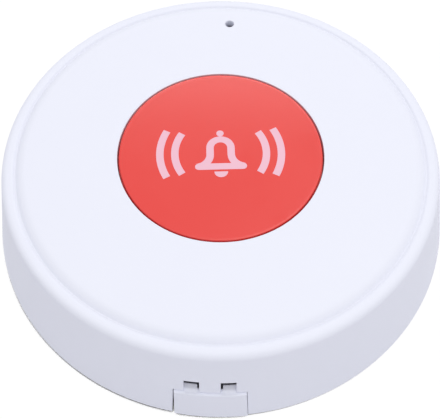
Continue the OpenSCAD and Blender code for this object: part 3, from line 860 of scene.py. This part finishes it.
def case_plastic():
    """White plastic, with painted shade in the groove, under the windows' tops, in the slits and down the
    light hole.
    """
    made = moulded("case_white", srgb(239, 241, 254), srgb(241, 243, 255), 0.58)
    x, y, z = made.split()
    radius = made.length(x, y)
    # Painted shade in the groove: the white is mixed a little towards grey where the face falls into the
    # groove and the lip rises out.
    beyond = made.over(radius, groove_r + RIM_FALL / 2, RIM_FALL / 3)
    groove = made.over(radius, groove_r - RIM_FALL / 6, RIM_FALL / 3) * (1 - beyond)
    groove_shade = groove * made.over(z, rim_top - RIM_R)
    groove_shaded = made.mix(GROOVE_SHADE_SHARE * groove_shade, made.colour, srgb(186, 186, 190))
    recess = (BASE_R + flare * SKIRT_LIFT) - flare * z - radius
    near = made.over(-1 * y, -near_y)
    aside = abs(x)
    above = made.over(z, TONGUE_H)
    # Painted shade under the windows' tops: the keys turn grey where they stand back from the wall.
    windows = near * (1 - made.over(aside, window_out)) * above * (1 - made.over(z, window_top))
    shaded = windows * made.over(recess, WINDOW_RECESS, WINDOW_FADE)
    window_shaded = made.mix(WINDOW_SHADE_SHARE * shaded, groove_shaded, srgb(120, 120, 126))
    # Painted shade in the slits beside the tongue: the notch's sides inside the wall turn dark.
    out = aside + tongue_lean * z
    notch_side = made.over(out, notch_half - NOTCH_EDGE) * (1 - made.over(out, notch_half + NOTCH_EDGE))
    in_wall = made.over(recess, NOTCH_EDGE, NOTCH_EDGE / 2) * (1 - made.over(recess, wall_across))
    slit_shade = near * notch_side * in_wall * (1 - above)
    slit_shaded = made.mix(SLIT_SHADE_SHARE * slit_shade, window_shaded, srgb(60, 60, 66))
    # Painted shade down the light hole: its wall turns dark grey below the mouth.
    bore = 1 - made.over(made.length(x - LED_SIDE, y - led_r), LED_HOLE_R + LED_HOLE_EDGE)
    sunk = made.over(CASE_H - z, 1.5 * LED_HOLE_R, 0.5 * LED_HOLE_R)
    deep = bore * sunk * made.over(z, LED_TUBE_Z)
    made.feed("Base Color", made.mix(HOLE_SHADE * deep, slit_shaded, srgb(70, 70, 76)))
    return made.material


def metal(name, dark, light, roughness, scale=DRAWN_LINES, stretch=(1, 1, 1)):
    """Bare or plated metal with fine drawn lines and a little tarnish."""
    made = Finish(name, Metallic=1.0)
    lines = made.noise(scale, 3, stretch)
    made.feed("Base Color", made.mix(made.noise(TARNISH, 3), dark, light))
    made.feed("Roughness", made.varied(roughness, lines, 0.16))
    made.bump(lines, LINE_BUMP)
    return made.material


def dull(name, dark, light, roughness):
    """A moulded or fired body with a fine speckle."""
    made = Finish(name)
    made.speckle = made.noise(SPECKLE, 3)
    made.colour = made.mix(made.speckle, dark, light)
    made.matt = made.varied(roughness, made.speckle, 0.14)
    made.feed("Base Color", made.colour)
    made.feed("Roughness", made.matt)
    made.bump(made.speckle, SPECKLE_BUMP)
    return made


def solder_mask():
    """Laminate under green lacquer: copper runs show through, the edge is bare, the screw holes have pads."""
    made = Finish("board_green", Coat_Weight=0.35, Coat_Roughness=0.12)
    x, y, _ = made.split()
    squares = {"voronoi_dimensions": "2D", "distance": "CHEBYCHEV"}
    spread = {"Vector": made.place(), "Scale": 1 / FIELD_W, "Randomness": FIELD_MIX}
    field, centre = [made.node("ShaderNodeTexVoronoi", squares, spread, out) for out in ("Color", "Distance")]
    kind = made.node("ShaderNodeSeparateColor", {}, {0: field})
    runs = [1 - made.over(made.math("PINGPONG", along, RUN_PITCH / 2), RUN_W / 2) for along in (x, y)]
    crosswise = made.over(kind, FIELD_CROSSWISE, FIELD_FADE)
    pour = made.over(kind, FIELD_POURED, FIELD_FADE)
    via = 1 - made.over(centre, VIA_SHARE, FIELD_FADE)
    copper = made.either(made.either(runs[0] * crosswise + runs[1] * (1 - crosswise), pour), via)
    weave = made.noise(WEAVE, 2)
    edge = made.over(made.length(x, y), board_r - BARE_EDGE)
    pads = 0.0
    for angle in BOSS_ANGLES:
        spot = ring_r * heading(math.radians(angle))
        pads = pads + (1 - made.over(made.length(x - spot.x, y - spot.y), PAD_R))
    green = made.mix(weave, srgb(14, 74, 38), srgb(20, 86, 46))
    lacquer = made.mix(copper, green, srgb(44, 122, 66))
    bare = made.mix(weave, srgb(176, 158, 100), srgb(204, 188, 132))
    made.feed("Base Color", made.mix(pads, made.mix(edge, lacquer, bare), srgb(206, 206, 202)))
    made.feed("Metallic", pads)
    made.feed("Roughness", made.varied(0.36, weave, 0.1) + 0.3 * edge)
    made.bump(copper + 0.2 * weave, COPPER_BUMP)
    return made.material


def cell_can():
    """Stainless steel turned on a lathe, with a dark gasket round the cap."""
    made = Finish("cell_can")
    x, y, z = made.split()
    radius = made.length(x, y)
    rings = made.node("ShaderNodeTexNoise", {"noise_dimensions": "1D"},
                      {"W": radius, "Scale": LATHE_RINGS, "Detail": 2.0})
    steel = made.mix(made.noise(CELL_TARNISH, 3), srgb(188, 188, 186), srgb(214, 214, 212))
    past_cap = made.over(radius, CELL_R - CELL_STEP - GASKET_LAP)
    past_gasket = made.over(radius, CELL_R - CELL_STEP / 3 + GASKET_LAP)
    gasket = past_cap * (1 - past_gasket) * made.over(z, CELL_TOP - CELL_STEP / 2)
    made.feed("Base Color", made.mix(gasket, steel, srgb(38, 38, 40)))
    made.feed("Metallic", 1 - gasket)
    made.feed("Roughness", made.varied(0.24, rings, 0.2) + 0.3 * gasket)
    made.bump(rings, LINE_BUMP)
    return made.material


def chip_epoxy():
    """Black moulding with a small round dimple that marks the first pin."""
    made = dull("chip_black", srgb(26, 26, 28), srgb(38, 38, 40), 0.55)
    along, across = made.on_ring(CHIP_ANGLE)
    away = made.length(along + (CHIP_W / 2 - DIMPLE_INSET), across + (CHIP_L / 2 - DIMPLE_INSET))
    on_top = made.over(made.split()[2], BOARD_TOP + CHIP_H - DIMPLE_EDGE)
    dimple = (1 - made.over(away, DIMPLE_R, DIMPLE_EDGE)) * on_top
    made.feed("Roughness", made.matt - 0.25 * dimple)
    made.bump(0.1 * made.speckle - dimple, DIMPLE_BUMP)
    return made.material


def crystal_can():
    """A nickel lid on a ceramic tray."""
    made = Finish("crystal_lid")
    lid = made.over(made.split()[2], BOARD_TOP + CRYSTAL_LID_Z)
    lines = made.noise(LID_LINES, 3, (1, 8, 1))
    nickel = made.mix(lines, srgb(186, 184, 178), srgb(208, 206, 200))
    made.feed("Base Color", made.mix(lid, srgb(204, 196, 178), nickel))
    made.feed("Metallic", lid)
    made.feed("Roughness", made.varied(0.55 - 0.28 * lid, lines, 0.14))
    made.bump(lines, LINE_BUMP)
    return made.material


def light_resin():
    """Clear resin over a yellow chip, on a white tray."""
    made = Finish("light_lens", Coat_Weight=0.8)
    x, y, z = made.split()
    lens = made.over(z, BOARD_TOP + LIGHT_BASE_H)
    heart = 1 - made.over(made.length(x - LED_SIDE, y - led_r), LIGHT_HEART_R, LIGHT_HEART_EDGE)
    haze = made.noise(HAZE, 2)
    clear = made.mix(haze, srgb(226, 236, 206), srgb(236, 244, 220))
    resin = made.mix(heart, clear, srgb(226, 206, 96))
    made.feed("Base Color", made.mix(lens, srgb(232, 232, 224), resin))
    made.feed("Roughness", made.varied(0.45 - 0.3 * lens, haze, 0.08))
    return made.material


def choke_core():
    """A ferrite spool with copper wire on its waist."""
    made = Finish("choke_ferrite")
    along, across = made.on_ring(CHOKE_ANGLE)
    z = made.split()[2]
    up = abs(z - (BOARD_TOP + CHOKE_H / 2))
    waist = 1 - made.over(made.length(along, across), CHOKE_R * CHOKE_WAIST)
    wound = waist * (1 - made.over(up, CHOKE_H * CHOKE_WINDING))
    strands = made.math("PINGPONG", z, STRAND_W) * (1 / STRAND_W)
    speckle = made.noise(CORE_SPECKLE, 3)
    ferrite = made.mix(speckle, srgb(58, 56, 58), srgb(80, 78, 78))
    wire = made.mix(strands, srgb(96, 44, 22), srgb(196, 112, 62))
    made.feed("Base Color", made.mix(wound, ferrite, wire))
    made.feed("Metallic", wound)
    made.feed("Roughness", made.varied(0.6 - 0.25 * wound, speckle, 0.12))
    made.bump(wound * strands + 0.15 * speckle, STRAND_BUMP)
    return made.material


def capacitor_case():
    """An orange moulding with a brown stripe at its positive end and tinned straps."""
    made = Finish("capacitor_orange")
    _, across = made.on_ring(BULK_ANGLE)
    z = made.split()[2]
    speckle = made.noise(SPECKLE, 3)
    stripe = made.over(across, BULK_L / 2 - STRIPE_W) * made.over(z, BOARD_TOP + STRIPE_Z)
    strap = made.over(abs(across), BULK_L / 2 - STRAP_T) * (1 - made.over(z, BOARD_TOP + STRAP_H))
    body = made.mix(speckle, srgb(214, 138, 34), srgb(232, 156, 48))
    marked = made.mix(stripe, body, srgb(122, 62, 22))
    made.feed("Base Color", made.mix(strap, marked, srgb(204, 204, 202)))
    made.feed("Metallic", strap)
    made.feed("Roughness", made.varied(0.5 - 0.2 * strap, speckle, 0.12))
    made.bump(speckle, CASE_BUMP)
    return made.material


def small_body(name, dark, light, roughness):
    """A small ceramic part that lies along the radius, with tinned ends."""
    made = dull(name, dark, light, roughness)
    x, y, _ = made.split()
    end = made.over(abs(made.length(x, y) - ring_r), SMALL_L / 2 - SMALL_CAP_L)
    made.feed("Base Color", made.mix(end, made.colour, srgb(208, 208, 206)))
    made.feed("Metallic", end)
    made.feed("Roughness", made.matt - (roughness - TIN_ROUGHNESS) * end)
    return made.material


CASE_WHITE = case_plastic()
BUTTON_RED = moulded("button_red", srgb(235, 64, 58), srgb(238, 68, 62), 0.2).material
SIGN_INK = moulded("sign_ink", srgb(240, 188, 206), srgb(245, 195, 213), 0.45).material
SPRING_STEEL = metal("spring_steel", srgb(176, 176, 178), srgb(205, 205, 205), 0.28)
SHEET_NICKEL = metal("sheet_nickel", srgb(184, 180, 170), srgb(206, 202, 192), 0.3, scale=1300,
                     stretch=(1, 9, 1))
TINNED = metal("tinned_lead", srgb(192, 192, 192), srgb(216, 216, 214), 0.34, scale=1800)

top_housing(CASE_WHITE)
rear_cover(CASE_WHITE)
call_button(BUTTON_RED)
sign_bell(SIGN_INK)
sign_waves(SIGN_INK)
return_spring(SPRING_STEEL)
antenna_coil(metal("antenna_copper", srgb(176, 104, 52), srgb(206, 134, 74), 0.26, scale=1600))

# CAD solids that show as they are, with a finish and softened edges
SOFT_EDGES = {"circuit_board": 0.00006, "board_screws": 0.00012, "coin_cell": 0.00012, "cell_clip": 0.00006,
              "switch_body": 0.0001, "switch_cover": 0.00006, "switch_stem": 0.0001, "radio_chip": 0.00008,
              "crystal": 0.00008, "status_light": 0.00005, "choke": 0.00008, "bulk_capacitor": 0.0001,
              "small_capacitors": 0.00005, "resistors": 0.00005}


def smooth_by_angle():
    """Smooth shading for all but the sharp edges."""
    group = bpy.data.node_groups.new("smooth_by_angle", "GeometryNodeTree")
    for way in ("INPUT", "OUTPUT"):
        group.interface.new_socket("Geometry", in_out=way, socket_type="NodeSocketGeometry")
    start, end, angle, gentle, edges, faces = [group.nodes.new(kind) for kind in (
        "NodeGroupInput", "NodeGroupOutput", "GeometryNodeInputMeshEdgeAngle", "FunctionNodeCompare",
        "GeometryNodeSetShadeSmooth", "GeometryNodeSetShadeSmooth")]
    gentle.operation = "LESS_THAN"
    gentle.inputs[1].default_value = CREASE
    edges.domain = "EDGE"
    for source, goal in ((start.outputs[0], edges.inputs["Geometry"]), (angle.outputs[0], gentle.inputs[0]),
                         (gentle.outputs[0], edges.inputs["Shade Smooth"]),
                         (edges.outputs[0], faces.inputs["Geometry"]), (faces.outputs[0], end.inputs[0])):
        group.links.new(source, goal)
    return group


SMOOTHING = smooth_by_angle()


def dress(name, finish):
    """Gives a CAD solid its finish and softens its edges."""
    solid = frame["nodes"][name]
    solid.data.materials.clear()
    solid.data.materials.append(finish)
    if name in SOFT_EDGES:
        weld = solid.modifiers.new("weld", "WELD")
        weld.merge_threshold = MERGE
        bevel = solid.modifiers.new("soft_edges", "BEVEL")
        bevel.width = SOFT_EDGES[name]
        bevel.segments = 2
        bevel.limit_method = "ANGLE"
        bevel.angle_limit = SOFTEN_OVER
    solid.modifiers.new("smooth", "NODES").node_group = SMOOTHING
    even_normals(solid)


SWITCH_BLACK = dull("switch_black", srgb(34, 34, 36), srgb(48, 48, 50), 0.5).material
dress("circuit_board", solder_mask())
dress("board_screws", metal("screw_steel", srgb(176, 178, 184), srgb(206, 208, 214), 0.32, scale=1400))
dress("coin_cell", cell_can())
dress("cell_contact", metal("contact_gold", srgb(206, 160, 74), srgb(232, 190, 104), 0.24, scale=1200))
dress("radio_chip", chip_epoxy())
dress("crystal", crystal_can())
dress("status_light", light_resin())
dress("choke", choke_core())
dress("bulk_capacitor", capacitor_case())
dress("small_capacitors", small_body("capacitor_tan", srgb(140, 100, 66), srgb(160, 118, 82), 0.5))
dress("resistors", small_body("resistor_black", srgb(26, 26, 28), srgb(44, 44, 46), 0.45))
for solid in ("cell_clip", "switch_cover", "switch_dome"):
    dress(solid, SHEET_NICKEL)
for solid in ("switch_body", "switch_stem"):
    dress(solid, SWITCH_BLACK)
for solid in ("switch_terminals", "chip_pins"):
    dress(solid, TINNED)

# Stage: a pale floor, an even sky, soft lamps above, beyond and before the pager, and the camera
WHITE = (1, 1, 1, 1)
FLOOR_R = 1.5
FLOOR_SIDES = 64
FLOOR_Z = -0.00004
FLOOR_PALE = (0.66, 0.655, 0.7, 1)
FLOOR_SHADOW = (0.04, 0.04, 0.045, 1)
FLOOR_GLOW = 1.09
FLOOR_GLOW_SHARE = 0.85
RESTED_ON = 0.0008
GAP_REACH = 0.0012
GAP_OPEN = 0.48
GAP_FADE = 0.015
LIT_FROM = (0.36, 0.1, 0.93)
SKY_LEVEL = 0.655
CAMERA_TARGET = Vector((-0.0001, -0.00059, SKIRT_LIFT))
CAMERA_DISTANCE = 0.14209
CAMERA_RISE = math.radians(57.62)
CAMERA_TURN = math.radians(3.0)
CAMERA_ROLL = math.radians(0.63)
CAMERA_LENS = 72.3
CAMERA_SENSOR = 36
CAMERA_NEAR = 0.01
CAMERA_FAR = 10


def floor():
    """Paper that is white to look at, with a painted shadow in narrow gaps, and open from below and to what
    rests on it.
    """
    bm = bmesh.new()
    bmesh.ops.create_circle(bm, cap_ends=True, segments=FLOOR_SIDES, radius=FLOOR_R,
                            matrix=Matrix.Translation((0, 0, FLOOR_Z)))
    paper = Finish("floor_paper", Roughness=0.9)
    # Painted contact shadow: ambient occlusion, with its normal tilted towards the lamps, darkens the floor's
    # colour and holds back its glow where the floor is shut in.
    lit_from = paper.node("ShaderNodeCombineXYZ", {}, dict(enumerate(LIT_FROM)))
    daylight = paper.node("ShaderNodeAmbientOcclusion", {"samples": 16},
                          {"Distance": GAP_REACH, "Normal": lit_from}, "AO")
    open_floor = paper.over(daylight, GAP_OPEN, GAP_FADE)
    paper.feed("Base Color", paper.mix(open_floor, FLOOR_SHADOW, FLOOR_PALE))
    seen = FLOOR_GLOW_SHARE * (paper.looked_at() * open_floor)
    plain = Value(paper, paper.shader.outputs[0])
    glow = paper.node("ShaderNodeEmission", {}, {"Color": WHITE, "Strength": FLOOR_GLOW})
    shown = paper.node("ShaderNodeMixShader", {}, {0: seen, 1: plain, 2: glow})
    below = paper.node("ShaderNodeNewGeometry", {}, {}, "Backfacing")
    bounced, reach = [paper.node("ShaderNodeLightPath", {}, {}, out) for out in (
        "Is Diffuse Ray", "Ray Length")]
    rested_on = bounced * (1 - paper.over(reach, RESTED_ON))
    clear = paper.node("ShaderNodeBsdfTransparent", {}, {})
    whole = paper.node("ShaderNodeMixShader", {}, {0: below + rested_on, 1: shown, 2: clear})
    paper.put(paper.tree.nodes["Material Output"].inputs["Surface"], whole)
    made = mesh_object(bm, "floor", paper.material)


def sky():
    """An even pale sky, plain white where it is looked at."""
    world = bpy.data.worlds.new("sky")
    bpy.context.scene.world = world
    world.use_nodes = True
    nodes = Nodes(world.node_tree)
    level = nodes.node("ShaderNodeMapRange", {},
                       {"Value": nodes.looked_at(), "To Min": SKY_LEVEL, "To Max": 1.0})
    background = world.node_tree.nodes["Background"]
    nodes.put(background.inputs["Strength"], level)
    nodes.put(background.inputs["Color"], WHITE)


def lamp(name, place, width, height, power):
    """A soft light that looks at the pager."""
    light = bpy.data.lights.new(name, "AREA")
    light.shape = "RECTANGLE"
    light.size = width
    light.size_y = height
    light.energy = power
    made = bpy.data.objects.new(name, light)
    made.location = place
    made.rotation_mode = "QUATERNION"
    made.rotation_quaternion = Vector(place).to_track_quat("Z", "Y")
    bpy.context.scene.collection.objects.link(made)


def camera():
    """Looks down at the pager, a little from the right, and rolled to the picture's tilt."""
    level = math.cos(CAMERA_RISE)
    back = Vector((level * math.sin(CAMERA_TURN), -level * math.cos(CAMERA_TURN), math.sin(CAMERA_RISE)))
    data = bpy.data.cameras.new("camera")
    data.sensor_width = CAMERA_SENSOR
    data.lens = CAMERA_LENS
    data.clip_start = CAMERA_NEAR
    data.clip_end = CAMERA_FAR
    made = bpy.data.objects.new("camera", data)
    right = Vector((0, 0, 1)).cross(back).normalized()
    up = math.cos(CAMERA_ROLL) * back.cross(right) + math.sin(CAMERA_ROLL) * right
    side = up.cross(back)
    made.matrix_world = Matrix((side, up, back)).transposed().to_4x4()
    made.location = CAMERA_TARGET + CAMERA_DISTANCE * back
    bpy.context.scene.collection.objects.link(made)
    bpy.context.scene.camera = made


floor()
sky()
lamp("top_lamp", place=(0.14, 0.1, 0.77), width=0.56, height=0.56, power=1.74)
lamp("far_lamp", place=(0, 0.535, 0.525), width=0.375, height=0.135, power=0.47)
lamp("near_lamp", place=(0.1, -0.55, 0.2), width=0.5, height=0.2, power=0.22)
camera()
bpy.context.scene.view_settings.view_transform = "Standard"
